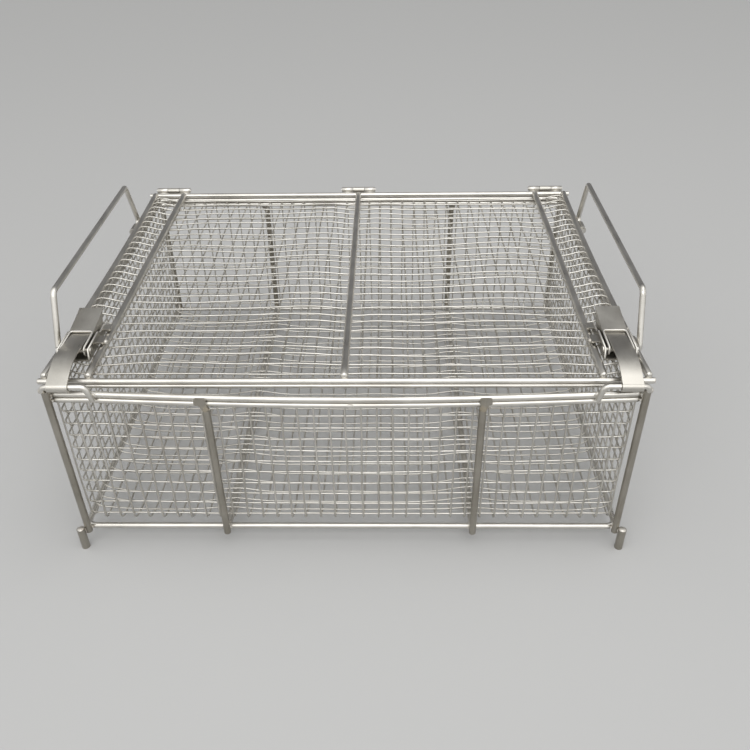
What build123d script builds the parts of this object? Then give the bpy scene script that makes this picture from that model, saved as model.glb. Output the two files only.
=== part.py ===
from build123d import *
import os
from math import cos, radians, sin, tan

# Autoclave basket of stainless rod, sheet and woven wire. Millimetres.
# X runs to the right, Y to the rear and Z up; the four feet stand on z = 0.

# Rod and sheet stock, as radii and thicknesses.
RIM_R = 1.6
POST_R = 1.9
FOOT_R = 2.25
LID_ROD_R = 1.7
UNDER_ROD_R = 1.2
KEEPER_R = 1.5
HANDLE_R = 1.6
MESH_T = 1.6
HINGE_SHEET = 0.85
CLIP_SHEET = 1.15
BASE_SHEET = 1.0
LEVER_SHEET = 0.9
STRAP_SHEET = 0.9
RUNNING_FIT = 0.05
SIDE_GAP = 0.3

# Basket frame.
RIM_HALF_X = 148.2
RIM_FRONT_Y = -118.1
RIM_REAR_Y = 116.9
RIM_CORNER_R = 5.0
RIM_UPPER_Z = 104.5
RIM_LOWER_Z = 101.1
BOTTOM_Z = 11.5
RIB_X = 68.4
POST_BEARINGS = {"left": 66.0, "right": 60.0}
FOOT_BEARING = 40.0
FOOT_TOP_Z = 14.0
RIB_SHOULDER_Z = 97.2
RIB_TAB_T = 1.3
RIB_TAB_WIDTH = 6.2
RIB_TAB_LOW_Z = 99.2
RIB_TAB_TOP_Z = 103.0
RIB_NECK_WIDTH = 3.8
RIB_TAB_OUT = {"left": 3.0, "right": 1.6}
MESH_TOP_Z = 102.8

# Lid frame. The five lid rods run front to back on top of the two cross rods.
LID_Z = 108.0
LID_FRONT_Y = -112.3
LID_REAR_Y = 117.1
LID_HALF_X = 152.6
LID_OUTER_X = 150.0
LID_INNER_X = 127.6
LID_ROD_Z = LID_Z + RIM_R + LID_ROD_R
LID_ROD_FRONT_Y = -111.6
LID_ROD_REAR_Y = 118.3
HINGED_ROD_REAR_Y = 115.2
LID_MESH_HALF_X = 150.4
LID_MESH_Z = LID_Z + RIM_R - MESH_T
UNDER_ROD_HALF_X = 145.6

# Hinges along the rear edge.
HINGE_Y = 122.0
HINGE_Z = 110.0
HINGE_XS = {"left": -136.2, "middle": 0.0, "right": 136.2}
HINGE_PIN_R = 0.9
HINGE_WIDTH = 24.4
HINGE_MIDDLE = 8.0
HINGE_PLATE_WIDTH = 16.0
HINGE_PLATE_LOW_Z = 98.6
HINGE_WRAP = (-25.0, 230.0)
HINGE_LID_WEB = (100.0, 105.0)
HINGE_RIM_WEB = -40.0
HINGE_KNEE_Z = RIM_UPPER_Z + 0.4

# Drop handles on the two sides.
HANDLE_X = 153.5
HANDLE_PIVOT_Z = 102.5
GRIP_Z = 134.8
GRIP_HALF = 69.4
HANDLE_HALF_SPAN = 83.2
HANDLE_FOOT_END = 66.5
HANDLE_BEND_R = 4.0
CLIP_NEAR_Y = 67.5
CLIP_LENGTH = 9.0
CLIP_LOW_Z = 97.5

# Draw latches on the lid, and their keepers on the basket.
LATCH_X = 139.2
PIVOT_Y = -93.7
PIVOT_Z = 114.0
PIVOT_R = 1.2
PIVOT_HEAD_R = 1.9
PIVOT_HEAD_T = 0.6
STRAP_PIN_Y = -82.0
STRAP_PIN_Z = 114.2
STRAP_PIN_R = 1.0
BASE_WIDTH = 16.6
BASE_WALL = ((-97.4, LID_Z + RIM_R), (-96.2, 116.0), (-79.0, 116.0), (-76.5, 114.0), (-68.0, 114.0))
LUG_REACH = {"inner": 12.6, "outer": 12.2}
LUGS_Y = ((-86.4, -80.0), (-73.4, -68.6))
LEVER_WIDTH = 12.8
LEVER_EAR_R = 2.9
LEVER_NOSE = ((-96.5, 113.6), (-96.8, 115.6), (-95.8, 116.9))
LEVER_PLATE_FRONT = (-80.5, 117.0)
LEVER_PLATE_REAR = (-65.5, 119.1)
LEVER_LIP = (-61.0, 119.9)
LEVER_TAIL = ((-63.5, 118.2), (-67.0, 112.4), (-70.0, 111.1))
STRAP_WIDTH = 10.4
STRAP_RISE = 7.5
STRAP_SLOPE = 24.0
STRAP_ARCH_R = 38.0
KEEPER_Z = 111.0
KEEPER_Y = RIM_FRONT_Y - RIM_R - KEEPER_R
KEEPER_OUTER_X = 148.4
KEEPER_INNER_X = 126.2
KEEPER_FOOT_X = 124.0
KEEPER_FOOT_Z = 102.3
KEEPER_POST_TOP_Z = 108.5
KEEPER_BEND_R = 2.4
HOOK_GAP = 0.3
HOOK_END = 262.0

# Openings of the wire cloth, one for every three wires or so.
GAPS_X = 13
GAPS_Y = 9
GAPS_Z = 3
BAR = 1.5
FLOOR_BEND_R = 3.0

RIM_CENTRE_Y = (RIM_FRONT_Y + RIM_REAR_Y) / 2
RIM_HALF_Y = (RIM_REAR_Y - RIM_FRONT_Y) / 2
WEAVE_OUT_X = RIM_HALF_X - RIM_R
WEAVE_OUT_Y = RIM_HALF_Y - RIM_R
FLOOR_Z = BOTTOM_Z + RIM_R

parts = {}


def straight(start, end, radius):
    """A straight piece of rod between the centres of its two end faces."""
    line = Line(start, end)
    return sweep(Plane(origin=start, z_dir=line % 0) * Circle(radius), path=line)


def bent(points, radius, bend):
    """A rod bent to a run of straight lengths, each corner on the same radius."""
    path = FilletPolyline(*points, radius=bend)
    return sweep(Plane(origin=path @ 0, z_dir=path % 0) * Circle(radius), path=path)


def ring_rod(half_x, half_y, z, radius):
    """A rod bent to a closed rectangle with rounded corners."""
    outline = Plane.XY.offset(z) * Pos(0, RIM_CENTRE_Y) * RectangleRounded(
        2 * half_x, 2 * half_y, RIM_CORNER_R
    )
    path = outline.wire()
    return sweep(Plane(origin=path @ 0, z_dir=path % 0) * Circle(radius), path=path)


def side_profile(sketch, x_low, x_high):
    """Extrude a sketch drawn with Y across and Z up from one X to another."""
    return extrude(Plane.YZ.offset(x_low) * sketch, amount=x_high - x_low, dir=(1, 0, 0))


def strip(start, end, thickness):
    """A straight run of sheet seen edge-on."""
    return trace(Line(start, end), line_width=thickness)


def curl(centre, radius, start, turn, thickness):
    """A rolled run of sheet seen edge-on, about a centre."""
    return trace(CenterArc(centre, radius, start, turn), line_width=thickness)


def polar(centre, radius, angle):
    """The point at an angle in degrees about a centre."""
    return (
        centre[0] + radius * cos(radians(angle)),
        centre[1] + radius * sin(radians(angle)),
    )


def corner_post(side, end):
    """Plan position of a corner post, touching the bend of the rim outside."""
    reach = RIM_CORNER_R + RIM_R + POST_R
    bearing = POST_BEARINGS["left" if side < 0 else "right"]
    x, y = polar((RIM_HALF_X - RIM_CORNER_R, RIM_HALF_Y - RIM_CORNER_R), reach, bearing)
    return side * x, RIM_CENTRE_Y + end * y


def rib_tab(side_name, side, end):
    """The flattened upper end of a rib, cranked outward over the lower rim rod."""
    x = side * RIB_X
    tab_x = side * (RIB_X + RIB_TAB_OUT[side_name])
    half = RIB_NECK_WIDTH / 2
    height = RIB_TAB_TOP_Z - RIB_TAB_LOW_Z
    middle_z = RIB_TAB_LOW_Z + height / 2
    outline = Polygon(
        (x - half, RIB_SHOULDER_Z - POST_R),
        (x + half, RIB_SHOULDER_Z - POST_R),
        (tab_x + half, middle_z),
        (tab_x - half, middle_z),
        align=None,
    )
    outline += Pos(tab_x, middle_z) * RectangleRounded(RIB_TAB_WIDTH, height, height / 3)
    face_y = RIM_CENTRE_Y + end * (RIM_HALF_Y + RIM_R)
    tab = extrude(Plane.XZ.offset(-face_y) * outline, amount=-end * RIB_TAB_T, dir=(0, -1, 0))
    return tab


def basket_frame():
    parts["rim_upper_rod"] = ring_rod(RIM_HALF_X, RIM_HALF_Y, RIM_UPPER_Z, RIM_R)
    parts["rim_lower_rod"] = ring_rod(RIM_HALF_X, RIM_HALF_Y, RIM_LOWER_Z, RIM_R)
    parts["bottom_rod"] = ring_rod(RIM_HALF_X, RIM_HALF_Y, BOTTOM_Z, RIM_R)
    rib_y = RIM_HALF_Y + RIM_R + POST_R
    low_z = BOTTOM_Z - RIM_R
    tops = {"front": KEEPER_POST_TOP_Z, "rear": RIM_UPPER_Z + RIM_R}
    for side_name, side in (("left", -1), ("right", 1)):
        for end_name, end in (("front", -1), ("rear", 1)):
            place = f"{end_name}_{side_name}"
            x, y = corner_post(side, end)
            parts[f"corner_post_{place}"] = straight(
                (x, y, low_z), (x, y, tops[end_name]), POST_R
            )
            foot_x, foot_y = polar((0, 0), POST_R + FOOT_R, FOOT_BEARING)
            foot_x, foot_y = x + side * foot_x, y + end * foot_y
            parts[f"foot_{place}"] = straight(
                (foot_x, foot_y, 0), (foot_x, foot_y, FOOT_TOP_Z), FOOT_R
            )
            rib = side * RIB_X, RIM_CENTRE_Y + end * rib_y
            post = straight((*rib, low_z), (*rib, RIB_SHOULDER_Z), POST_R)
            parts[f"rib_post_{place}"] = post + rib_tab(side_name, side, end)
        runner_z = FLOOR_Z - POST_R
        parts[f"floor_runner_{side_name}"] = straight(
            (side * RIB_X, RIM_FRONT_Y + RIM_R, runner_z),
            (side * RIB_X, RIM_REAR_Y - RIM_R, runner_z),
            POST_R,
        )


def gap_grid(length, width, count_x, count_y, depth):
    """Cutters for the openings of one panel, centred and standing on z = 0."""
    pitch_x = length / count_x
    pitch_y = width / count_y
    gap = Rectangle(pitch_x - BAR, pitch_y - BAR)
    gaps = Sketch() + GridLocations(pitch_x, pitch_y, count_x, count_y) * gap
    return extrude(gaps, amount=depth, both=True)


def basket_mesh():
    """The cloth of the basket, folded up from the floor into four walls."""
    height = MESH_TOP_Z - FLOOR_Z
    tray = extrude(
        RectangleRounded(2 * WEAVE_OUT_X, 2 * WEAVE_OUT_Y, RIM_CORNER_R - RIM_R),
        amount=height,
    )
    tray = fillet(tray.faces().sort_by(Axis.Z)[0].edges(), radius=FLOOR_BEND_R)
    tray = offset(tray, amount=-MESH_T, openings=tray.faces().sort_by(Axis.Z)[-1])
    inside_x = 2 * (WEAVE_OUT_X - MESH_T)
    inside_y = 2 * (WEAVE_OUT_Y - MESH_T)
    wall = height - MESH_T
    wall_centre = MESH_T + wall / 2
    floor_gaps = gap_grid(inside_x, inside_y, GAPS_X, GAPS_Y, 3 * MESH_T)
    long_gaps = gap_grid(inside_x, wall, GAPS_X, GAPS_Z, 3 * MESH_T)
    short_gaps = gap_grid(inside_y, wall, GAPS_Y, GAPS_Z, 3 * MESH_T)
    tray -= floor_gaps
    for end in (-1, 1):
        tray -= Plane.XZ.offset(end * WEAVE_OUT_Y) * Pos(0, wall_centre) * long_gaps
        tray -= Plane.YZ.offset(end * WEAVE_OUT_X) * Pos(0, wall_centre) * short_gaps
    parts["basket_mesh"] = Pos(0, RIM_CENTRE_Y, FLOOR_Z) * tray


def keepers():
    """A staple of wire in front of each front corner, for the latch to pull on."""
    for side_name, side in (("left", -1), ("right", 1)):
        outer, inner, foot = (
            side * x for x in (KEEPER_OUTER_X, KEEPER_INNER_X, KEEPER_FOOT_X)
        )
        points = (
            (outer, KEEPER_Y, KEEPER_POST_TOP_Z),
            (outer, KEEPER_Y, KEEPER_Z),
            (inner, KEEPER_Y, KEEPER_Z),
            (foot, KEEPER_Y, KEEPER_FOOT_Z),
        )
        parts[f"latch_keeper_{side_name}"] = bent(points, KEEPER_R, KEEPER_BEND_R)


def handles():
    """Each wire handle turns in two rolled clips on the outside of the rim."""
    centre = (HANDLE_X, HANDLE_PIVOT_Z)
    bore = HANDLE_R + RUNNING_FIT
    clip_sketch = Pos(*centre) * Circle(bore + CLIP_SHEET)
    face_x = RIM_HALF_X + RIM_R
    tail = (face_x + CLIP_SHEET / 2, HANDLE_PIVOT_Z), (face_x + CLIP_SHEET / 2, CLIP_LOW_Z)
    clip_sketch += strip(*tail, CLIP_SHEET)
    clip_sketch -= Pos(*centre) * Circle(bore)
    for side_name, side in (("left", -1), ("right", 1)):
        points = (
            (-HANDLE_FOOT_END, HANDLE_PIVOT_Z),
            (-HANDLE_HALF_SPAN, HANDLE_PIVOT_Z),
            (-GRIP_HALF, GRIP_Z),
            (GRIP_HALF, GRIP_Z),
            (HANDLE_HALF_SPAN, HANDLE_PIVOT_Z),
            (HANDLE_FOOT_END, HANDLE_PIVOT_Z),
        )
        points = [(side * HANDLE_X, y, z) for y, z in points]
        parts[f"handle_{side_name}"] = bent(points, HANDLE_R, HANDLE_BEND_R)
        for end_name, end in (("front", -1), ("rear", 1)):
            sketch = clip_sketch if side > 0 else mirror(clip_sketch, about=Plane.YZ)
            middle = end * (CLIP_NEAR_Y + CLIP_LENGTH / 2)
            parts[f"handle_clip_{end_name}_{side_name}"] = extrude(
                Plane.XZ.offset(-middle) * sketch, amount=CLIP_LENGTH / 2, both=True
            )


def lid_frame():
    parts["lid_front_rod"] = straight(
        (-LID_HALF_X, LID_FRONT_Y, LID_Z), (LID_HALF_X, LID_FRONT_Y, LID_Z), RIM_R
    )
    parts["lid_rear_rod"] = straight(
        (-LID_HALF_X, LID_REAR_Y, LID_Z), (LID_HALF_X, LID_REAR_Y, LID_Z), RIM_R
    )
    under_z = LID_Z - RIM_R - UNDER_ROD_R
    parts["lid_under_rod"] = straight(
        (-UNDER_ROD_HALF_X, LID_FRONT_Y, under_z),
        (UNDER_ROD_HALF_X, LID_FRONT_Y, under_z),
        UNDER_ROD_R,
    )
    places = {
        "lid_outer_rod_left": (-LID_OUTER_X, LID_ROD_REAR_Y),
        "lid_inner_rod_left": (-LID_INNER_X, HINGED_ROD_REAR_Y),
        "lid_centre_rod": (0.0, HINGED_ROD_REAR_Y),
        "lid_inner_rod_right": (LID_INNER_X, HINGED_ROD_REAR_Y),
        "lid_outer_rod_right": (LID_OUTER_X, LID_ROD_REAR_Y),
    }
    for name, (x, rear) in places.items():
        parts[name] = straight(
            (x, LID_ROD_FRONT_Y, LID_ROD_Z), (x, rear, LID_ROD_Z), LID_ROD_R
        )


def lid_mesh():
    front = LID_FRONT_Y + RIM_R
    rear = LID_REAR_Y - RIM_R - HINGE_SHEET - RUNNING_FIT
    width = 2 * LID_MESH_HALF_X
    panel = extrude(Rectangle(width, rear - front), amount=MESH_T)
    panel -= gap_grid(width - BAR, rear - front - BAR, GAPS_X, GAPS_Y, 2 * MESH_T)
    parts["lid_mesh"] = Pos(0, (front + rear) / 2, LID_MESH_Z) * panel


def hinges():
    """Three butt hinges rolled from sheet, one leaf on the lid and one on the rim."""
    pin = (HINGE_Y, HINGE_Z)
    bore = HINGE_PIN_R + RUNNING_FIT
    barrel = Pos(*pin) * (Circle(bore + HINGE_SHEET) - Circle(bore))
    hollow = Pos(*pin) * Circle(bore)
    mid = bore + HINGE_SHEET / 2

    rod = (LID_REAR_Y, LID_Z)
    wrap = RIM_R + HINGE_SHEET / 2
    lid_leaf = curl(rod, wrap, *HINGE_WRAP, HINGE_SHEET)
    on_rod, on_pin = HINGE_LID_WEB
    lid_web = strip(polar(rod, wrap, on_rod), polar(pin, mid, on_pin), HINGE_SHEET) - hollow

    plate_y = RIM_REAR_Y + RIM_R + HINGE_SHEET / 2
    knee = (plate_y, HINGE_KNEE_Z)
    plate = strip((plate_y, HINGE_PLATE_LOW_Z), knee, HINGE_SHEET)
    base_web = strip(knee, polar(pin, mid, HINGE_RIM_WEB), HINGE_SHEET) - hollow

    half = HINGE_WIDTH / 2
    inner = HINGE_MIDDLE / 2
    for name, x in HINGE_XS.items():
        leaf = side_profile(lid_leaf, x - half, x + half)
        for low, high in ((x - half, x - inner - SIDE_GAP), (x + inner + SIDE_GAP, x + half)):
            leaf += side_profile(barrel + lid_web, low, high)
        parts[f"hinge_lid_leaf_{name}"] = leaf
        base = side_profile(
            plate, x - HINGE_PLATE_WIDTH / 2, x + HINGE_PLATE_WIDTH / 2
        )
        base += side_profile(barrel + base_web, x - inner, x + inner)
        parts[f"hinge_rim_leaf_{name}"] = base
        parts[f"hinge_pin_{name}"] = straight(
            (x - half - SIDE_GAP, *pin), (x + half + SIDE_GAP, *pin), HINGE_PIN_R
        )


def latch_base(side):
    """A folded channel on the lid, open in front, with four lugs over the rods."""
    half = BASE_WIDTH / 2
    floor_z = LID_Z + RIM_R
    lug_z = LID_ROD_Z + LID_ROD_R
    rear_y = BASE_WALL[-1][0]
    walls = Polygon(*BASE_WALL, (rear_y, floor_z), align=None)
    walls -= Pos(PIVOT_Y, PIVOT_Z) * Circle(PIVOT_R)
    base = side_profile(walls, -half, half)
    length = 2 * (rear_y - BASE_WALL[0][0])
    hollow = Pos(rear_y, floor_z + BASE_SHEET) * Rectangle(
        2 * length, length, align=(Align.CENTER, Align.MIN)
    )
    base -= side_profile(hollow, -half + BASE_SHEET, half - BASE_SHEET)
    for low, high in LUGS_Y:
        for direction, reach in ((-side, LUG_REACH["inner"]), (side, LUG_REACH["outer"])):
            start = direction * (half - BASE_SHEET)
            end = direction * reach
            lug = Pos((start + end) / 2, (low + high) / 2, lug_z + BASE_SHEET / 2) * Box(
                abs(end - start), high - low, BASE_SHEET
            )
            base += lug
    return Pos(side * LATCH_X, 0, 0) * base


def latch_pivot(side):
    """The lever's pin, with a low head outside each ear."""
    half = BASE_WIDTH / 2
    pin = side_profile(Pos(PIVOT_Y, PIVOT_Z) * Circle(PIVOT_R), -half, half)
    for low, high in ((-half - PIVOT_HEAD_T, -half), (half, half + PIVOT_HEAD_T)):
        pin += side_profile(Pos(PIVOT_Y, PIVOT_Z) * Circle(PIVOT_HEAD_R), low, high)
    return Pos(side * LATCH_X, 0, 0) * pin


def latch_lever(side):
    """An inverted channel whose top stops short of the strap, with a finger lip."""
    half = LEVER_WIDTH / 2
    low = (PIVOT_Y, PIVOT_Z - LEVER_EAR_R)
    walls = Polygon(
        low, *LEVER_NOSE, LEVER_PLATE_FRONT, LEVER_PLATE_REAR, *LEVER_TAIL, align=None
    )
    walls += Pos(PIVOT_Y, PIVOT_Z) * Circle(LEVER_EAR_R)
    walls -= Pos(PIVOT_Y, PIVOT_Z) * Circle(PIVOT_R + RUNNING_FIT)
    walls -= Pos(STRAP_PIN_Y, STRAP_PIN_Z) * Circle(STRAP_PIN_R)
    lever = Part()
    for low_x, high_x in ((-half, -half + LEVER_SHEET), (half - LEVER_SHEET, half)):
        lever += side_profile(walls, low_x, high_x)
    top = Polyline(LEVER_PLATE_FRONT, LEVER_PLATE_REAR, LEVER_LIP)
    top_sketch = trace(Pos(0, -LEVER_SHEET / 2) * top, line_width=LEVER_SHEET)
    lever += side_profile(top_sketch, -half, half)
    return Pos(side * LATCH_X, 0, 0) * lever


def latch_strap(side):
    """A sprung strap rolled round the lever's pin and hooked over the keeper."""
    half = STRAP_WIDTH / 2
    pin = (STRAP_PIN_Y, STRAP_PIN_Z)
    bore = STRAP_PIN_R + RUNNING_FIT
    eye = bore + STRAP_SHEET / 2
    keeper = (KEEPER_Y, KEEPER_Z)
    hook = KEEPER_R + HOOK_GAP + STRAP_SHEET / 2
    hook_angle = 90 + STRAP_SLOPE
    start = polar(pin, eye, 90 - STRAP_RISE)
    end = polar(keeper, hook, hook_angle)
    rise, fall = tan(radians(STRAP_RISE)), tan(radians(STRAP_SLOPE))
    crest = (start[0] - end[0] - (end[1] - start[1]) / rise) * rise / (rise + fall)
    crest_y = end[0] + crest
    path = FilletPolyline(
        start, (crest_y, end[1] + crest * fall), end, radius=STRAP_ARCH_R
    )
    sketch = trace(path, line_width=STRAP_SHEET)
    sketch += curl(keeper, hook, hook_angle, HOOK_END - hook_angle, STRAP_SHEET)
    sketch += Pos(*pin) * (Circle(bore + STRAP_SHEET) - Circle(bore))
    return Pos(side * LATCH_X, 0, 0) * side_profile(sketch, -half, half)


def strap_pin(side):
    half = LEVER_WIDTH / 2
    pin = side_profile(
        Pos(STRAP_PIN_Y, STRAP_PIN_Z) * Circle(STRAP_PIN_R), -half, half
    )
    return Pos(side * LATCH_X, 0, 0) * pin


def latches():
    for side_name, side in (("left", -1), ("right", 1)):
        parts[f"latch_base_{side_name}"] = latch_base(side)
        parts[f"latch_pivot_pin_{side_name}"] = latch_pivot(side)
        parts[f"latch_lever_{side_name}"] = latch_lever(side)
        parts[f"latch_strap_{side_name}"] = latch_strap(side)
        parts[f"strap_pin_{side_name}"] = strap_pin(side)


basket_frame()
basket_mesh()
keepers()
handles()
lid_frame()
lid_mesh()
hinges()
latches()

os.makedirs("parts", exist_ok=True)
for name, shape in parts.items():
    export_step(shape, f"parts/{name}.step")
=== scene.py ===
import math
import random

import bmesh
import bpy
from mathutils import Matrix, Vector, noise


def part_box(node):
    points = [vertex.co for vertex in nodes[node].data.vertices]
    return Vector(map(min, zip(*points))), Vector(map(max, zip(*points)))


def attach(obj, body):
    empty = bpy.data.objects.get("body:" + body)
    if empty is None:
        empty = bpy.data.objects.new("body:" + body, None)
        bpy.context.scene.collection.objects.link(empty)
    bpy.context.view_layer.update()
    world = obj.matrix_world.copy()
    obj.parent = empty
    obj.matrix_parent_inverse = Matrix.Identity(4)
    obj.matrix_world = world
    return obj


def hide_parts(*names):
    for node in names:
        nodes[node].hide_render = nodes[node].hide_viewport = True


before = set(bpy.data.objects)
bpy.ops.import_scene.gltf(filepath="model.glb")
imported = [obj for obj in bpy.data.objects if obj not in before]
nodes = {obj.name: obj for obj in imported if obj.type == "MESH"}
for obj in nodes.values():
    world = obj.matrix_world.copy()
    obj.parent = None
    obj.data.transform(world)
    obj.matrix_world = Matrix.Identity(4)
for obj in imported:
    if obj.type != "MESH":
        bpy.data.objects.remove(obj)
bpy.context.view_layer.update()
mm = 0.001
scene = bpy.context.scene
print("frame loaded:", len(nodes), "nodes")


class Value:
    # a number on a socket, with the usual arithmetic
    def __init__(self, shader, socket):
        self.shader = shader
        self.socket = socket

    def join(self, operation, first, second):
        return self.shader.node("ShaderNodeMath", {"operation": operation}, {0: first, 1: second})

    def __add__(self, other):
        return self.join("ADD", self, other)

    def __radd__(self, other):
        return self.join("ADD", other, self)

    def __mul__(self, other):
        return self.join("MULTIPLY", self, other)

    def __rmul__(self, other):
        return self.join("MULTIPLY", other, self)


class Shader:
    def __init__(self, name):
        self.material = bpy.data.materials.new(name)
        self.material.use_nodes = True
        self.tree = self.material.node_tree
        self.surface = self.tree.nodes["Principled BSDF"]

    def node(self, kind, settings=None, inputs=None, output=0):
        made = self.tree.nodes.new(kind)
        for key, setting in (settings or {}).items():
            setattr(made, key, setting)
        for key, given in (inputs or {}).items():
            self.feed(made.inputs[key], given)
        return Value(self, made.outputs[output])

    def feed(self, socket, given):
        if isinstance(given, Value):
            self.tree.links.new(given.socket, socket)
        elif isinstance(given, tuple) and len(given) == 3 and socket.type == "RGBA":
            socket.default_value = (*given, 1.0)
        else:
            socket.default_value = given

    def place(self, scale):
        where = self.node("ShaderNodeTexCoord", output="Object")
        return self.node("ShaderNodeMapping", inputs={"Vector": where, "Scale": scale})

    def grain(self, kind, scale=(1.0, 1.0, 1.0)):
        size, detail = grains[kind]
        return self.node("ShaderNodeTexNoise", inputs={
            "Vector": self.place(scale), "Scale": size, "Detail": detail}, output="Fac")

    def blend(self, share, first, second):
        return self.node("ShaderNodeMix", {"data_type": "RGBA"}, {0: share, 6: first, 7: second}, output=2)

    def clamp(self, given, between):
        low, high = between
        return self.node("ShaderNodeMapRange", {"clamp": True}, {
            "Value": given, "From Min": low, "From Max": high})

    def finish(self, **sockets):
        for key, given in sockets.items():
            self.feed(self.surface.inputs[key.replace("_", " ")], given)
        return self.material


steel = {    # two tones, least and most roughness, and the depth of the drawing lines in mm
    "rod": {"tones": ((0.72, 0.70, 0.66), (0.56, 0.54, 0.50)), "rough": (0.24, 0.40), "lines": 0.02},
    # the uprights' tones are darker than the rods': painted shade for the dark floor that upright sides
    # reflect
    "post": {"tones": ((0.43, 0.405, 0.36), (0.29, 0.27, 0.23)), "rough": (0.26, 0.42), "lines": 0.02},
    "wire": {"tones": ((0.74, 0.72, 0.68), (0.52, 0.50, 0.455)), "rough": (0.28, 0.44), "lines": 0.01},
    "sheet": {"tones": ((0.62, 0.60, 0.555), (0.47, 0.45, 0.41)), "rough": (0.26, 0.44), "lines": 0.015},
    # the edge tones are lighter than the sheet's: a painted highlight for the bright light the rounded cut
    # edges catch
    "edge": {"tones": ((0.84, 0.82, 0.78), (0.72, 0.70, 0.66)), "rough": (0.48, 0.60), "lines": 0.01},
    "heatTint": (0.27, 0.20, 0.13), "heatShare": 0.22, "lineRelief": 0.35, "lineStretch": 0.03,
}

weldMetal = {
    "colour": (0.68, 0.66, 0.62), "tintShare": 0.4, "smooth": 0.42, "roughen": 0.2,
    "relief": 0.5, "depth": 0.1,
}

grains = {    # how fine each pattern is, per metre, and its detail
    "lines": (2600.0, 3.0), "clouds": (55.0, 3.0), "blotches": (16.0, 4.0),
    "pits": (1800.0, 3.0), "weldClouds": (260.0, 2.0),
}

mix = {    # the clouds' share against the lines, and the part of each pattern that shows
    "toneClouds": 0.75, "tone": (0.32, 0.68), "roughClouds": 0.6, "rough": (0.3, 0.7),
    "blotches": (0.58, 0.80), "weldClouds": (0.4, 0.7),
}


def drawnSteel(name, finish, along):
    # along is the direction of the drawing lines, 0, 1 or 2
    shader = Shader(name)
    look = steel[finish]
    bright, dull = look["tones"]
    smooth, rough = look["rough"]
    stretch = [1.0, 1.0, 1.0]
    stretch[along] = steel["lineStretch"]
    lines = shader.grain("lines", tuple(stretch))
    clouds = shader.grain("clouds")
    blotches = shader.clamp(shader.grain("blotches"), mix["blotches"])
    share = mix["toneClouds"]
    tone = shader.clamp(clouds * share + lines * (1 - share), mix["tone"])
    colour = shader.blend(tone, dull, bright)
    colour = shader.blend(blotches * steel["heatShare"], colour, steel["heatTint"])
    share = mix["roughClouds"]
    unevenness = shader.clamp(clouds * share + lines * (1 - share), mix["rough"])
    roughness = smooth + (rough - smooth) * unevenness
    bump = shader.node("ShaderNodeBump", inputs={
        "Strength": steel["lineRelief"], "Distance": look["lines"] * mm, "Height": lines})
    return shader.finish(Base_Color=colour, Metallic=1.0, Roughness=roughness, Normal=bump)


def weldSteel(name):
    shader = Shader(name)
    pits = shader.grain("pits")
    clouds = shader.clamp(shader.grain("weldClouds"), mix["weldClouds"])
    colour = shader.blend(clouds * weldMetal["tintShare"], weldMetal["colour"], steel["heatTint"])
    roughness = weldMetal["smooth"] + pits * weldMetal["roughen"]
    bump = shader.node("ShaderNodeBump", inputs={
        "Strength": weldMetal["relief"], "Distance": weldMetal["depth"] * mm, "Height": pits})
    return shader.finish(Base_Color=colour, Metallic=1.0, Roughness=roughness, Normal=bump)


rodAlongX = drawnSteel("rod steel across", "rod", 0)
rodAlongY = drawnSteel("rod steel deep", "rod", 1)
# upright steel takes the darker post tones: painted shade
rodAlongZShaded = drawnSteel("rod steel upright painted shade", "post", 2)
wireSteel = drawnSteel("wire steel", "wire", 0)
sheetSteel = drawnSteel("sheet steel", "sheet", 1)
# edge steel takes the lighter edge tones: a painted highlight
edgeSteelHighlight = drawnSteel("rounded edge painted highlight", "edge", 1)
weldBead = weldSteel("weld bead")
print("materials made")


def dress(name, material):
    node = nodes[name]
    node.data.materials.clear()
    node.data.materials.append(material)


def pieceFrom(name, build, material, body):
    # runs a bmesh recipe into a new object that rides on a body
    mesh = bpy.data.meshes.new(name)
    shape = bmesh.new()
    build(shape)
    bmesh.ops.recalc_face_normals(shape, faces=shape.faces)
    shape.to_mesh(mesh)
    shape.free()
    piece = bpy.data.objects.new(name, mesh)
    scene.collection.objects.link(piece)
    mesh.materials.append(material)
    for face in mesh.polygons:
        face.use_smooth = True
    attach(piece, body)
    return piece


cloth = {    # the basket's wire cloth, in mm
    "wire": 1.0, "pitch": 8.0, "sink": 0.06, "roundness": 1, "step": 4.0,
    "lowRow": 19.0, "topRow": 99.0, "wallTop": 103.2, "bend": 5.0, "rowCorner": 3.0, "cornerIn": 1.2,
    "sag": 3.0, "humpReach": 14.0, "edgeReach": 9.0, "uneven": 0.5, "patch": 34.0, "patchSeed": 3.1,
    "waver": 0.28, "kink": 0.13, "hold": 0.8, "push": 0.5, "spring": 0.86, "seed": 7,
}

lidCloth = {    # the lid's wire cloth, in mm
    "halfX": 148.0, "front": -108.8, "rear": 112.6, "frontIn": 1.5, "sideIn": 2.0,
    "outerArch": 3.0, "bay": 1.3, "rodReach": 13.0, "endReach": 12.0, "endLeast": 0.15,
    "bow": 0.5, "bowSpread": 0.9, "patch": 60.0, "patchSeed": 8.7, "ripple": 0.12, "ripples": 9.0,
    "kinkAcross": 0.182, "kink": 0.14, "seed": 11,
}

worn = {    # how far the used frame has come out of true, in mm
    "rimSag": 3.8, "sagMiddle": 8.0, "sagHalf": 140.0, "sagShape": 1.2,
    "frontDrop": 1.1, "rearDrop": 2.4, "outerIn": 1.4, "outerBow": 1.7, "innerOut": 0.4,
}

lidRods = {"radius": 1.9, "dome": 1.1, "overlap": 0.2, "stations": 24}

near = 0.1    # mm within which a point counts as on a wall


def box(name):
    low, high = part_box(name)
    return low / mm, high / mm


def middle(name):
    low, high = box(name)
    return (low + high) / 2


def smoothWave(x, y, scale, seed):
    # a gentle unevenness of the cloth, between about -1 and 1
    return 2.0 * noise.noise(Vector((x / scale, y / scale, seed)))


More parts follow.
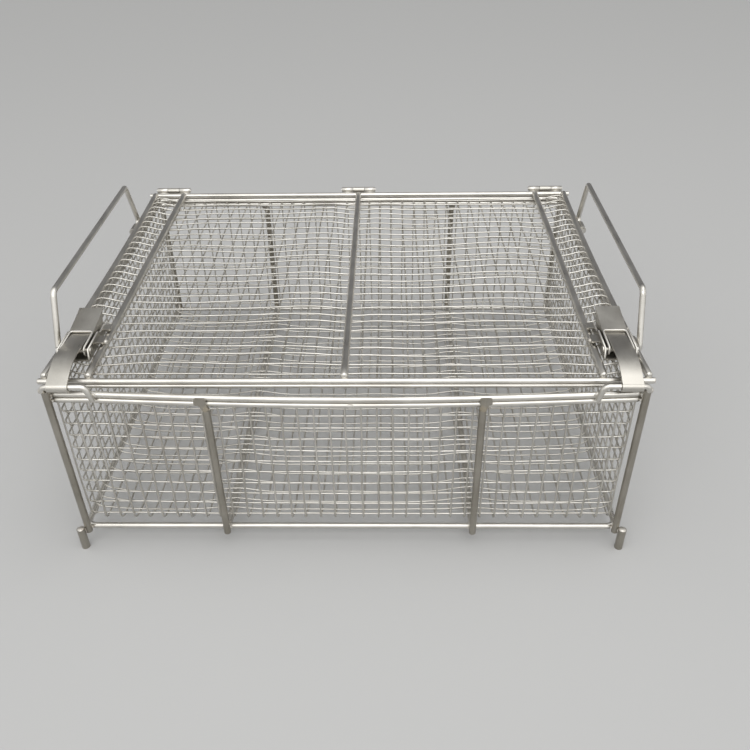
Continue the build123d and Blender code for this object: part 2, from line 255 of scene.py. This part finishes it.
class WireCurve:
    def __init__(self, name, diameter):
        self.curve = bpy.data.curves.new(name, "CURVE")
        self.curve.dimensions = "3D"
        self.curve.bevel_depth = diameter * mm / 2
        self.curve.bevel_resolution = cloth["roundness"]
        self.curve.use_fill_caps = True
        self.name = name

    def wire(self, points, closed=False):
        spline = self.curve.splines.new("POLY")
        spline.points.add(len(points) - 1)
        for point, (x, y, z) in zip(spline.points, points):
            point.co = (x * mm, y * mm, z * mm, 1.0)
        spline.use_cyclic_u = closed
        spline.use_smooth = True

    def piece(self, material, body, slotName, replaced):
        self.curve.materials.append(material)
        made = bpy.data.objects.new(self.name, self.curve)
        scene.collection.objects.link(made)
        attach(made, body)
        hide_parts(replaced)


def spread(low, high, pitch):
    # places of wires at an even pitch, centred between two ends
    count = int((high - low) / pitch) + 1
    start = (low + high - (count - 1) * pitch) / 2
    return [start + i * pitch for i in range(count)]


def evenly(low, high, pitch):
    # places from one end to the other, as near to the pitch as whole gaps allow
    count = round((high - low) / pitch)
    return [low + i * (high - low) / count for i in range(count + 1)]


def runs(length, step):
    count = max(2, round(length / step))
    return [i * length / count for i in range(count + 1)]


bottomLow, bottomHigh = box("bottom_rod")
rodR = (bottomHigh.z - bottomLow.z) / 2
wireR = cloth["wire"] / 2
layer = cloth["wire"] - cloth["sink"]
innerX = bottomHigh.x - 2 * rodR - wireR    # axis of the wires against the rods
frontY = bottomLow.y + 2 * rodR + wireR
rearY = bottomHigh.y - 2 * rodR - wireR
floorZ = bottomHigh.z + wireR
ribX = middle("floor_runner_right").x
lidRodMid = middle("lid_centre_rod").z


def floorSag(x, y):
    # the floor hangs a little between the runners and the walls
    gap = min(abs(abs(x) - ribX), abs(abs(x) - innerX))
    edge = min(y - frontY, rearY - y)
    across = 1 - math.exp(-(gap / cloth["humpReach"]) ** 2)
    along = 1 - math.exp(-(max(edge, 0) / cloth["edgeReach"]) ** 2)
    wave = smoothWave(x, y, cloth["patch"], cloth["patchSeed"])
    return -cloth["sag"] * across * along + cloth["uneven"] * wave * along


def rimSag(x):
    # the front of the rim hangs down between the latches
    share = 1 - ((x - worn["sagMiddle"]) / worn["sagHalf"]) ** 2
    return -worn["rimSag"] * max(share, 0.0) ** worn["sagShape"]


def lidRodZ(y):
    # the lid's long rods lie lower at the back than at the front
    share = (y - frontY) / (rearY - frontY)
    return lidRodMid - worn["frontDrop"] * (1 - share) - worn["rearDrop"] * share


def wander(rng, count, amount):
    # slow random bends along one wire
    offset, trend, out = 0.0, 0.0, []
    for _ in range(count):
        trend = cloth["hold"] * trend + rng.uniform(-amount, amount) * cloth["push"]
        offset = cloth["spring"] * offset + trend
        out.append(offset)
    return out


def uWire(low, high, bottom, top, bend, step):
    # a wire down one wall, across the floor and up the other, as (place, height) pairs
    wall = [(low, top - d) for d in runs(top - bottom - bend, step)]
    turn = [
        (low + bend - bend * math.cos(a), bottom + bend - bend * math.sin(a))
        for a in (math.radians(d) for d in (22.5, 45, 67.5))
    ]
    floor = [(low + bend + d, bottom) for d in runs(high - low - 2 * bend, step)]
    turnUp = [(low + high - p, z) for p, z in reversed(turn)]
    wallUp = [(high, z) for _, z in reversed(wall)]
    return wall + turn + floor + turnUp + wallUp


def basketCloth():
    rng = random.Random(cloth["seed"])
    curve = WireCurve("basket_wire_cloth", cloth["wire"])
    bend, top, step = cloth["bend"], cloth["wallTop"], cloth["step"]
    edge = cloth["cornerIn"]
    for x in evenly(edge - innerX, innerX - edge, cloth["pitch"]):
        inward = edge if abs(x) > innerX - edge - near else 0.0    # corner wires stand on the bends
        profile = uWire(frontY + inward, rearY - inward, floorZ, top, bend, step)
        shift = wander(rng, len(profile), cloth["kink"])
        points = []
        for (y, z), s in zip(profile, shift):
            low = z < floorZ + bend
            hung = rimSag(x) * (z - floorZ) / (top - floorZ) if y < frontY + inward + near else 0.0
            points.append((x + s, y, z + (floorSag(x, y) if low else hung)))
        curve.wire(points)
    for y in evenly(frontY + edge, rearY - edge, cloth["pitch"])[1:-1]:
        profile = uWire(-innerX, innerX, floorZ + layer, top, bend, step)
        shift = wander(rng, len(profile), cloth["kink"])
        points = []
        for (x, z), s in zip(profile, shift):
            low = z < floorZ + layer + bend
            points.append((x, y + s, z + (floorSag(x, y) if low else 0)))
        curve.wire(points)
    rowX, rowFront, rowRear = innerX - layer, frontY + layer, rearY - layer
    row = cloth["lowRow"]
    while row <= cloth["topRow"] + near:
        points = ringPoints(rowX, rowFront, rowRear, cloth["rowCorner"], step)
        shift = wander(rng, len(points), cloth["kink"])
        tilt = rng.uniform(-cloth["waver"], cloth["waver"])
        hung = [rimSag(x) * row / top if y < rowFront + near else 0.0 for x, y in points]
        curve.wire([(x, y, row + s + tilt + h) for (x, y), s, h in zip(points, shift, hung)], closed=True)
        row += cloth["pitch"]
    curve.piece(wireSteel, "basket", "wire_cloth", "basket_mesh")


def ringPoints(halfX, front, rear, corner, step):
    # a closed rectangle with rounded corners, as (x, y) pairs
    points = []
    ends = ((halfX, front, -90), (halfX, rear, 0), (-halfX, rear, 90), (-halfX, front, 180))
    for i, (x, y, start) in enumerate(ends):
        centreX = x - math.copysign(corner, x)
        centreY = y + corner if y == front else y - corner
        for turn in (0, 30, 60, 90):
            a = math.radians(start + turn)
            points.append((centreX + corner * math.cos(a), centreY + corner * math.sin(a)))
        nextX, nextY, nextStart = ends[(i + 1) % 4]
        a = math.radians(nextStart)
        goX = nextX - math.copysign(corner, nextX) + corner * math.cos(a)
        goY = (nextY + corner if nextY == front else nextY - corner) + corner * math.sin(a)
        fromX, fromY = points[-1]
        length = math.hypot(goX - fromX, goY - fromY)
        for d in runs(length, step)[1:-1]:
            points.append((fromX + (goX - fromX) * d / length, fromY + (goY - fromY) * d / length))
    return points


lidInnerX = middle("lid_inner_rod_right").x
lidOuterX = middle("lid_outer_rod_right").x


def lidRise(x, y):
    # the lid's cloth is pressed down under the rods and bows up between them
    side = abs(x)
    reach = lidCloth["endReach"]
    along = min(1.0, (y - lidCloth["front"]) / reach, (lidCloth["rear"] - y) / reach)
    if side > lidInnerX:
        share = (side - lidInnerX) / (lidOuterX - lidInnerX)
        return lidCloth["outerArch"] * math.sin(math.pi * min(share, 1.0) ** 2)
    share = side / lidInnerX
    gap = 1 - math.exp(-(min(side, lidInnerX - side) / lidCloth["rodReach"]) ** 2)
    bow = lidCloth["bow"] + lidCloth["bowSpread"] * smoothWave(x, y, lidCloth["patch"], lidCloth["patchSeed"])
    ripple = lidCloth["ripple"] * math.sin(share * lidCloth["ripples"])
    return lidCloth["bay"] * bow * gap * max(along, lidCloth["endLeast"]) + ripple


def lidClothPiece():
    rng = random.Random(lidCloth["seed"])
    curve = WireCurve("lid_wire_cloth", cloth["wire"])
    half, front, rear, step = lidCloth["halfX"], lidCloth["front"], lidCloth["rear"], cloth["step"]
    drop = lidRods["radius"] + wireR
    for y in spread(front + lidCloth["frontIn"], rear - lidCloth["frontIn"], cloth["pitch"]):
        places = [d - half for d in runs(2 * half, step)]
        shift = wander(rng, len(places), lidCloth["kinkAcross"])
        points = [(x, y + s, lidRodZ(y) - drop + lidRise(x, y)) for x, s in zip(places, shift)]
        curve.wire(points)
    for x in spread(lidCloth["sideIn"] - half, half - lidCloth["sideIn"], cloth["pitch"]):
        places = [front + d for d in runs(rear - front, step)]
        shift = wander(rng, len(places), lidCloth["kink"])
        points = [(x + s, y, lidRodZ(y) - drop - layer + lidRise(x, y)) for y, s in zip(places, shift)]
        curve.wire(points)
    curve.piece(wireSteel, "lid", "wire_cloth", "lid_mesh")


basketCloth()
lidClothPiece()
print("wire cloth drawn")


sheetEdge = {"round": 0.16, "rounds": 2, "sharp": 30.0, "flat": 0.5, "shade": 50.0, "lugReach": 148.0}

sheetBodies = {
    "latch_base": "lid", "latch_lever": "latch_lever", "latch_strap": "latch_strap",
    "hinge_rim_leaf": "basket", "handle_clip": "basket",
}


def roundedSheet(name, body):
    # the same folded sheet with its cut edges rounded off
    shape = bmesh.new()
    shape.from_mesh(nodes[name].data)
    bmesh.ops.remove_doubles(shape, verts=shape.verts, dist=0.002 * mm)
    if name.startswith("latch_base"):    # the outer lugs reach no further than the rod beside them
        reach = sheetEdge["lugReach"] * mm
        for vert in shape.verts:
            vert.co.x = max(-reach, min(reach, vert.co.x))
    bmesh.ops.dissolve_limit(shape, angle_limit=math.radians(sheetEdge["flat"]),
                             verts=shape.verts, edges=shape.edges)
    sharp = [e for e in shape.edges
             if e.is_manifold and e.calc_face_angle(0.0) > math.radians(sheetEdge["sharp"])]
    bmesh.ops.bevel(shape, geom=sharp, offset=sheetEdge["round"] * mm, offset_type="OFFSET",
                    segments=sheetEdge["rounds"], profile=0.5, affect="EDGES",
                    clamp_overlap=True, material=-1)
    mesh = bpy.data.meshes.new(name + "_rounded")
    shape.to_mesh(mesh)
    shape.free()
    for face in mesh.polygons:
        face.use_smooth = True
    mesh.set_sharp_from_angle(angle=math.radians(sheetEdge["shade"]))
    mesh.materials.clear()
    mesh.materials.append(sheetSteel)
    piece = bpy.data.objects.new(name + "_rounded", mesh)
    scene.collection.objects.link(piece)
    weighted = piece.modifiers.new("flat faces", "WEIGHTED_NORMAL")
    weighted.keep_sharp = True
    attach(piece, body)
    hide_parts(name)


rod = {"sides": 16, "capTurns": (30, 55, 75), "steep": 0.9, "rimCorner": 5.0, "rimStep": 6.0}


def sweptRod(shape, path, radius, dome=0.0, closed=False):
    # a round rod along a path in mm: a circle is extruded from place to place, with domed ends
    path = [Vector(p) for p in path]
    count = len(path)
    alongs = []
    for i in range(count):
        before = path[i - 1] if i or closed else path[i]
        after = path[(i + 1) % count] if i < count - 1 or closed else path[i]
        alongs.append((after - before).normalized())
    stations = [(place, along, radius) for place, along in zip(path, alongs)]
    if not closed:
        turns = [math.radians(d) for d in rod["capTurns"]]
        caps = [(math.sin(turn) * dome, math.cos(turn) * radius) for turn in turns]
        first = [(path[0] - alongs[0] * out, alongs[0], r) for out, r in reversed(caps)]
        last = [(path[-1] + alongs[-1] * out, alongs[-1], r) for out, r in caps]
        stations = first + stations + last
    up = Vector((0, 0, 1)) if abs(alongs[0].z) < rod["steep"] else Vector((0, 1, 0))
    seats = []
    for place, along, r in stations:
        up = (up - along * up.dot(along)).normalized()
        turn = Matrix((up, along.cross(up), along)).transposed().to_4x4()
        size = Matrix.Diagonal((r * mm, r * mm, mm, 1.0))
        seats.append(Matrix.Translation(place * mm) @ turn @ size)
    made = bmesh.ops.create_circle(shape, cap_ends=not closed, segments=rod["sides"], radius=1.0,
                                   matrix=seats[0])
    firstRing = list(dict.fromkeys(edge for vert in made["verts"] for edge in vert.link_edges))
    ring = firstRing
    for before, after in zip(seats, seats[1:]):
        grown = bmesh.ops.extrude_edge_only(shape, edges=ring)["geom"]
        verts = [g for g in grown if isinstance(g, bmesh.types.BMVert)]
        bmesh.ops.transform(shape, matrix=after @ before.inverted(), verts=verts)
        ring = [g for g in grown if isinstance(g, bmesh.types.BMEdge)]
    if closed:
        bmesh.ops.bridge_loops(shape, edges=firstRing + ring)
    else:
        bmesh.ops.contextual_create(shape, geom=ring)


def rimRod(name):
    low, high = box(name)
    radius = (high.z - low.z) / 2
    z = (low.z + high.z) / 2
    pairs = ringPoints(high.x - radius, low.y + radius, high.y - radius, rod["rimCorner"], rod["rimStep"])
    front = low.y + radius + near
    path = [(x, y, z + (rimSag(x) if y < front else 0.0)) for x, y in pairs]
    piece = pieceFrom(name + "_bent", lambda shape: sweptRod(shape, path, radius, closed=True),
                      rodAlongX, "basket")
    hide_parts(name)


def lidRodPath(name):
    low, high = box(name)
    x = (low.x + high.x) / 2
    frontEnd = box("lid_front_rod")[1].y - lidRods["overlap"]
    rearEnd = box("lid_rear_rod")[0].y + lidRods["overlap"]
    path = []
    for i in range(lidRods["stations"] + 1):
        t = i / lidRods["stations"]
        moved = x
        if "outer" in name:
            moved = x - math.copysign(worn["outerIn"] * t + worn["outerBow"] * 4 * t * (1 - t), x)
        elif "inner" in name:
            moved = x + math.copysign(worn["innerOut"], x)
        y = frontEnd + (rearEnd - frontEnd) * t
        path.append((moved, y, lidRodZ(y)))
    return path


def lidRod(name):
    path = lidRodPath(name)
    piece = pieceFrom(name + "_bent", lambda shape: sweptRod(shape, path, lidRods["radius"], lidRods["dome"]),
                      rodAlongY, "lid")
    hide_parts(name)


hinge = {"end": 0.3, "middle": 8.0, "gap": 0.35, "web": 4.6, "thick": 0.85, "webDown": 0.3}


def hingeLeaf(name):
    # the lid's leaf: a sleeve rolled round the rear rod and two knuckles round the pin
    low, high = box(name)
    pin = middle(name.replace("lid_leaf", "pin"))
    rear = middle("lid_rear_rod")
    centre = (low.x + high.x) / 2
    knuckle = high.y - pin.y
    end, inner = hinge["end"], hinge["middle"] / 2 + hinge["gap"]

    def build(shape):
        sweptRod(shape, [(low.x + end, rear.y, rear.z), (high.x - end, rear.y, rear.z)], rear.z - low.z, end)
        for x0, x1 in ((low.x + end, centre - inner), (centre + inner, high.x - end)):
            sweptRod(shape, [(x0, pin.y, pin.z), (x1, pin.y, pin.z)], knuckle, end)
            height = (rear.z + pin.z) / 2 - hinge["webDown"]
            place = Vector(((x0 + x1) / 2, (rear.y + pin.y) / 2, height)) * mm
            tilt = Matrix.Rotation(math.atan2(pin.z - rear.z, pin.y - rear.y), 4, "X")
            size = Matrix.Diagonal(((x1 - x0) * mm, hinge["web"] * mm, hinge["thick"] * mm, 1.0))
            bmesh.ops.create_cube(shape, size=1.0, matrix=Matrix.Translation(place) @ tilt @ size)

    piece = pieceFrom(name + "_rolled", build, rodAlongX, "lid")
    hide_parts(name)


latchEdge = {    # the rolled look of the cut edges; outlines as (y, z) in mm, along the latch and up
    "lever": 0.47, "base": 0.52, "proud": 0.28, "corner": 1.6, "outward": 0.05, "dome": 0.8,
    "leverFoot": 113.8, "leverTop": 117.0, "leverNose": (1.3, 0.6), "plateFront": -80.0,
    "baseWall": 8.3, "baseFoot": (-97.2, 111.0), "baseNose": (-96.3, 116.0),
    "baseTop": ((-79.2, 116.0), (-76.6, 114.0), (-68.4, 114.0)),
}


def edgePath(outline, half, across):
    # along one wall's edge, over a rounded corner, and back along the other wall's
    left = [(-half, y, z) for y, z in outline]
    right = [(half, y, z) for y, z in reversed(outline)]
    if not across:
        return [left, right]
    corner = latchEdge["corner"]
    _, y, z = left.pop()
    right.pop(0)
    bend = [(-half + corner - corner * math.cos(a), y - corner + corner * math.sin(a), z)
            for a in (math.radians(d) for d in (0, 22.5, 45, 67.5, 90))]
    return [left + bend + [(-px, py, pz) for px, py, pz in reversed(bend)] + right]


def latchEdges(side):
    low, high = box(f"latch_lever_{side}")
    middleX, half = (low.x + high.x) / 2, (high.x - low.x) / 2
    r = latchEdge["lever"]
    top = latchEdge["leverTop"] - r + latchEdge["proud"]
    noseIn, noseDown = latchEdge["leverNose"]
    lever = [(low.y + r, latchEdge["leverFoot"]), (low.y + r, top - noseDown),
             (low.y + noseIn, top), (latchEdge["plateFront"], top)]
    sunk = latchEdge["base"] - latchEdge["proud"]
    (footY, footZ), (noseY, noseZ) = latchEdge["baseFoot"], latchEdge["baseNose"]
    base = [(footY + sunk, footZ), (noseY + sunk, noseZ - sunk)]
    base += [(y, z - sunk) for y, z in latchEdge["baseTop"]]

    def along(outline, halfWidth, across, radius):
        def build(shape):
            for path in edgePath(outline, halfWidth, across):
                moved = [(middleX + x, y, z) for x, y, z in path]
                sweptRod(shape, moved, radius, radius * latchEdge["dome"])
        return build

    # the lever and base edges take the lighter edge steel: a painted highlight
    pieceFrom(f"lever_edge_{side}", along(lever, half - r + latchEdge["outward"], True, r),
              edgeSteelHighlight, f"latch_lever_{side}")
    wall, baseR = latchEdge["baseWall"] - latchEdge["base"], latchEdge["base"]
    pieceFrom(f"base_edge_{side}", along(base, wall, False, baseR), edgeSteelHighlight, "lid")


keeperRod = {    # the inner bend is given as (outward, down) from its corner, in mm
    "foot": 124.0, "footUp": 1.0, "inner": 126.2, "outer": 147.6, "bend": 2.2, "postDown": 1.5, "dome": 0.6,
    "innerBend": ((-0.7, 3.2), (-0.2, 1.5), (0.7, 0.4), (2.0, 0.0)),
}


def keeper(side):
    # a staple of rod whose outer end runs down into the corner post
    name = f"latch_keeper_{side}"
    low, high = box(name)
    radius = (high.y - low.y) / 2
    y, z = low.y + radius, high.z - radius
    out = -1 if side == "left" else 1
    post = middle(f"corner_post_front_{side}")
    postTop = box(f"corner_post_front_{side}")[1].z
    foot, inner, outer = (out * keeperRod[key] for key in ("foot", "inner", "outer"))
    r = keeperRod["bend"]
    path = [(foot, y, low.z + keeperRod["footUp"])]
    path += [(inner + out * outward, y, z - down) for outward, down in keeperRod["innerBend"]]
    for turn in (math.radians(d) for d in range(0, 91, 18)):
        path.append((outer - out * r + out * r * math.sin(turn), y, z - r + r * math.cos(turn)))
    path.append((post.x, post.y, postTop - keeperRod["postDown"]))
    piece = pieceFrom(name + "_bent", lambda shape: sweptRod(shape, path, radius, keeperRod["dome"]),
                      rodAlongX, "basket")
    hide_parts(name)


lidRodNames = ("lid_outer_rod_left", "lid_inner_rod_left", "lid_centre_rod",
               "lid_inner_rod_right", "lid_outer_rod_right")

for side in ("left", "right"):
    keeper(side)
for name in ("rim_upper_rod", "rim_lower_rod"):
    rimRod(name)
for name in lidRodNames:
    lidRod(name)
for place in ("left", "middle", "right"):
    hingeLeaf(f"hinge_lid_leaf_{place}")
for side in ("left", "right"):
    latchEdges(side)
print("bent rods and rolled edges made")

for name in nodes:
    if name in ("basket_mesh", "lid_mesh"):
        continue
    kind = next((k for k in sheetBodies if name.startswith(k)), None)
    if kind:
        side = "_left" if name.endswith("_left") else "_right"
        body = sheetBodies[kind]
        dress(name, sheetSteel)
        roundedSheet(name, body + side if body.startswith("latch") else body)
    elif name.startswith(("corner_post", "foot_", "rib_post")):
        # posts, feet and ribs take the darker upright steel: painted shade
        dress(name, rodAlongZShaded)
    elif name.startswith(("floor_runner", "lid_inner", "lid_outer", "lid_centre", "handle_")):
        dress(name, rodAlongY)
    else:
        dress(name, rodAlongX)
print("frame dressed")


welds = {    # half sizes of each bead in mm
    "cross": (1.7, 1.1, 1.0), "ribFoot": (2.5, 1.0, 1.8), "corner": (1.6, 1.6, 1.2),
    "footSeam": (1.1, 1.1, 2.3), "footTop": (2.1, 2.1, 0.9), "runner": (2.4, 1.0, 1.5),
    "keeperTop": (1.8, 1.8, 1.7), "keeperFoot": (1.7, 0.8, 1.7), "rimJoint": (2.0, 0.6, 1.3),
    "lugFront": (1.3, 1.6, 1.2), "lugRear": (0.9, 0.9, 1.1), "lugOuter": (1.5, 1.3, 1.1),
    "uneven": 0.16, "pebble": 700.0, "endDome": 0.9, "endFill": 0.98,
}

weldPlaces = {    # how far each bead sits from the rod it joins, in mm; a lug's are x, y and height
    "cornerIn": 6.6, "seamDown": 2.4, "footDown": 0.2, "runnerDown": 0.3, "jointX": 3.0, "jointIn": 0.4,
    "keeperEnd": 1.5, "keeperRear": 1.0, "keeperDown": 0.4, "crossDown": 0.9, "crossFront": 1.8,
    "lugFront": (-1.0, -83.3, -0.4), "lugRear": (1.4, -70.8, -0.9),
    "lugOuterFront": (148.4, -83.0, -0.7), "lugOuterRear": (148.0, -71.0, -1.0),
}


def bead(shape, place, radii):
    # one blob of weld metal, slightly uneven
    place = Vector(place)
    size = Matrix.Diagonal((*(r * mm for r in radii), 1.0))
    made = bmesh.ops.create_icosphere(shape, subdivisions=2, radius=1.0,
                                      matrix=Matrix.Translation(place * mm) @ size)
    for vert in made["verts"]:
        out = vert.co - place * mm
        vert.co += out * welds["uneven"] * noise.noise(vert.co * welds["pebble"])


def cornerWelds(shape, end, side, levels):
    # the beads at one corner of the basket and at the rib beside it
    ring = middle("bottom_rod")
    high = box("bottom_rod")[1] - Vector((weldPlaces["cornerIn"], weldPlaces["cornerIn"], 0))
    post = middle(f"corner_post_{end}_{side}")
    postR = box(f"corner_post_{end}_{side}")[1].x - post.x
    bendX = math.copysign(high.x, post.x)
    bendY = ring.y + math.copysign(high.y - ring.y, post.y)
    inward = Vector((bendX - post.x, bendY - post.y, 0)).normalized() * postR
    for z in levels:
        bead(shape, (post.x + inward.x, post.y + inward.y, z), welds["corner"])
    foot = middle(f"foot_{end}_{side}")
    footTop = box(f"foot_{end}_{side}")[1].z
    seam = (foot + post) / 2
    bead(shape, (seam.x, seam.y, footTop - weldPlaces["seamDown"]), welds["footSeam"])
    bead(shape, (foot.x, foot.y, footTop - weldPlaces["footDown"]), welds["footTop"])
    ribLow, ribHigh = box(f"rib_post_{end}_{side}")
    runnerX = middle(f"floor_runner_{side}").x
    ribY, runnerY = (ribHigh.y, frontY - wireR) if end == "front" else (ribLow.y, rearY + wireR)
    bead(shape, (runnerX, ribY, ring.z), welds["ribFoot"])
    bead(shape, (runnerX, runnerY, ring.z - weldPlaces["runnerDown"]), welds["runner"])


def keeperWelds(shape, side):
    low, high = box(f"latch_keeper_{side}")
    end = weldPlaces["keeperEnd"]
    inner, outer = high.x - end, low.x + end
    if side == "right":
        inner, outer = low.x + end, high.x - end
    y = (low.y + high.y) / 2 + weldPlaces["keeperRear"]
    postTop = box(f"corner_post_front_{side}")[1].z
    bead(shape, (outer, y, postTop - weldPlaces["keeperDown"]), welds["keeperTop"])
    bead(shape, (inner, high.y, middle("rim_upper_rod").z), welds["keeperFoot"])


def basketWelds(shape):
    levels = [middle(name).z for name in ("rim_upper_rod", "rim_lower_rod", "bottom_rod")]
    for end in ("front", "rear"):
        for side in ("left", "right"):
            cornerWelds(shape, end, side, levels)
    jointX = weldPlaces["jointX"]    # where the lower rim rod's two ends meet
    jointY = box("bottom_rod")[0].y + weldPlaces["jointIn"]
    bead(shape, (jointX, jointY, middle("rim_lower_rod").z + rimSag(jointX)), welds["rimJoint"])
    for side in ("left", "right"):
        keeperWelds(shape, side)


def lidWelds(shape):
    front, rear = middle("lid_front_rod"), middle("lid_rear_rod")
    low, high = box("lid_front_rod")
    radius = high.z - front.z
    z = high.z - weldPlaces["crossDown"]
    for name in lidRodNames:
        path = lidRodPath(name)
        bead(shape, (path[0][0], high.y, z), welds["cross"])
        bead(shape, (path[-1][0], rear.y - weldPlaces["crossFront"], z), welds["cross"])
    fill = radius * welds["endFill"]
    for x in (low.x, high.x):    # the front rod's rounded ends
        bead(shape, (x, front.y, front.z), (welds["endDome"], fill, fill))
    top = box("lid_inner_rod_right")[1].z
    for side in (-1, 1):
        for place, size in (("lugFront", "lugFront"), ("lugRear", "lugRear"),
                            ("lugOuterFront", "lugOuter"), ("lugOuterRear", "lugOuter")):
            x, y, above = weldPlaces[place]
            start = 0.0 if size == "lugOuter" else lidInnerX
            bead(shape, (side * (start + x), y, top + above), welds[size])


pieceFrom("basket_welds", basketWelds, weldBead, "basket")
pieceFrom("lid_welds", lidWelds, weldBead, "lid")
print("welds laid")


studio = {"floor": (0.45, 0.45, 0.45), "dull": 0.9, "halfWidth": 4.0, "aim": (0.0, 0.0, 0.06)}

lamps = {    # each faces the middle of the object: place, width, depth, radiance
    "frontBox": ((-0.05, -0.95, 1.0), 1.5, 0.6, 1.9),
    "topBox": ((0.15, -0.15, 1.35), 0.9, 0.6, 1.8),
}

sky = {"front": (1.08, 1.08, 1.06), "rear": (0.20, 0.20, 0.205), "fadeFrom": 0.18, "fadeTo": 0.68}

camera = {    # place in mm, turns in degrees
    "place": (22.66, -426.78, 339.64), "yaw": -1.334, "pitch": 35.94, "roll": -0.881,
    "lens": 37.86, "sensor": 36.0,
}


def makeFloor():
    mesh = bpy.data.meshes.new("floor")
    shape = bmesh.new()
    bmesh.ops.create_grid(shape, x_segments=1, y_segments=1, size=studio["halfWidth"])
    shape.to_mesh(mesh)
    shape.free()
    floor = bpy.data.objects.new("floor", mesh)
    scene.collection.objects.link(floor)
    mesh.materials.append(Shader("floor paper").finish(Base_Color=studio["floor"], Roughness=studio["dull"]))


def makeLight():
    world = bpy.data.worlds.new("studio")
    world.use_nodes = True
    tree = world.node_tree
    where = tree.nodes.new("ShaderNodeTexCoord")
    parts = tree.nodes.new("ShaderNodeSeparateXYZ")
    ramp = tree.nodes.new("ShaderNodeValToRGB")
    tree.links.new(where.outputs["Generated"], parts.inputs[0])
    tree.links.new(parts.outputs["Y"], ramp.inputs["Fac"])
    tree.links.new(ramp.outputs["Color"], tree.nodes["Background"].inputs["Color"])
    ramp.color_ramp.elements[0].color = (*sky["front"], 1.0)
    ramp.color_ramp.elements[1].color = (*sky["rear"], 1.0)
    ramp.color_ramp.elements[0].position = sky["fadeFrom"]
    ramp.color_ramp.elements[1].position = sky["fadeTo"]
    scene.world = world
    target = Vector(studio["aim"])
    for name, (place, width, depth, radiance) in lamps.items():
        lamp = bpy.data.lights.new(name, "AREA")
        lamp.shape = "RECTANGLE"
        lamp.size, lamp.size_y = width, depth
        lamp.energy = radiance * math.pi * width * depth
        holder = bpy.data.objects.new(name, lamp)
        aim = (Vector(place) - target).to_track_quat("Z", "Y").to_matrix().to_4x4()
        holder.matrix_world = Matrix.Translation(Vector(place)) @ aim
        scene.collection.objects.link(holder)


def makeCamera():
    yaw, pitch, roll = (math.radians(camera[k]) for k in ("yaw", "pitch", "roll"))
    forward = Vector((math.sin(yaw) * math.cos(pitch), math.cos(yaw) * math.cos(pitch), -math.sin(pitch)))
    right = Vector((math.cos(yaw), -math.sin(yaw), 0.0))
    up = right.cross(forward)
    right, up = (math.cos(roll) * right + math.sin(roll) * up,
                 math.cos(roll) * up - math.sin(roll) * right)
    lens = bpy.data.cameras.new("camera")
    lens.lens = camera["lens"]
    lens.sensor_width = camera["sensor"]
    lens.clip_start = 0.01
    holder = bpy.data.objects.new("camera", lens)
    turn = Matrix((right, up, -forward)).transposed().to_4x4()
    holder.matrix_world = Matrix.Translation(Vector(camera["place"]) * mm) @ turn
    scene.collection.objects.link(holder)
    scene.camera = holder


makeFloor()
makeLight()
makeCamera()
scene.view_settings.view_transform = "Standard"
print("studio ready")
